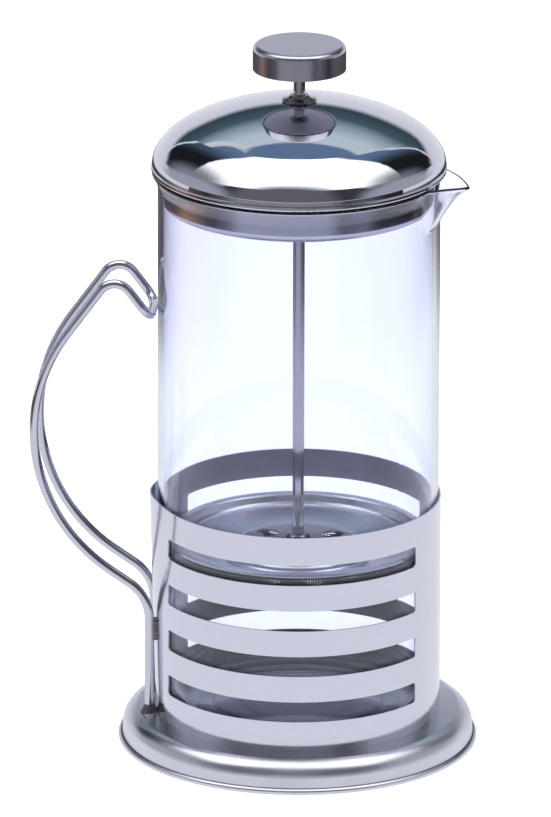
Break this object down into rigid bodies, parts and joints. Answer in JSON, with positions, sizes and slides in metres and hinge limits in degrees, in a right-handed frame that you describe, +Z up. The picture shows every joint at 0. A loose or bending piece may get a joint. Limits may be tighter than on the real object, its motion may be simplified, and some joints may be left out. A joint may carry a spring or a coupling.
{
  "type": "french press",
  "caption": "French press: a glass beaker with a spout, in a slotted steel holder with a bent wire handle, under a domed lid that guides a spring-edged filter plunger.",
  "frame": {"origin": "on the beaker's axis, at the table that the base stands on", "axes": "+Z up along the beaker's and plunger's axis, the handle at -X, the spout near +X"},
  "size_m": [0.1532, 0.1236, 0.2482],
  "materials": {
    "polished_steel": "mirror polished stainless steel",
    "satin_steel": "satin rolled stainless steel",
    "wire_steel": "polished drawn stainless wire",
    "weld_metal": "heat tinted weld, brushed over",
    "clear_glass": "clear borosilicate glass",
    "turned_steel": "fine turned stainless steel",
    "woven_mesh": "woven stainless wire",
    "spring_wire": "coiled spring wire"
  },
  "bodies": {
    "holder": {"base_plate": "polished_steel", "holder_sleeve": "satin_steel", "sleeve_tack_welds": "weld_metal", "handle_wire": "wire_steel", "handle_foot_welds": "weld_metal", "handle_seat_welds": "weld_metal"},
    "beaker": {"glass_beaker": "clear_glass"},
    "lid": {"lid_dome": "polished_steel", "lid_liner": "satin_steel", "lid_bush": "turned_steel", "lid_bush_washer": "turned_steel", "lid_bush_nut": "turned_steel"},
    "plunger": {"knob_cap": "turned_steel", "knob_core": "turned_steel", "knob_lock_nut": "turned_steel", "plunger_rod": "wire_steel", "filter_lock_nut": "turned_steel", "filter_washer": "turned_steel", "filter_dish": "polished_steel", "filter_coil": "spring_wire", "filter_mesh": "woven_mesh", "filter_plate": "satin_steel", "filter_hub": "turned_steel"}
  },
  "joints": [
    {"name": "beaker_lift", "type": "slide", "parent": "holder", "child": "beaker", "axis": [0, 0, 1], "range_m": [0, 0.08]},
    {"name": "lid_lift", "type": "slide", "parent": "beaker", "child": "lid", "axis": [0, 0, 1], "range_m": [0, 0.155]},
    {"name": "plunger_slide", "type": "slide", "parent": "lid", "child": "plunger", "axis": [0, 0, 1], "range_m": [-0.0074, 0.116]}
  ]
}
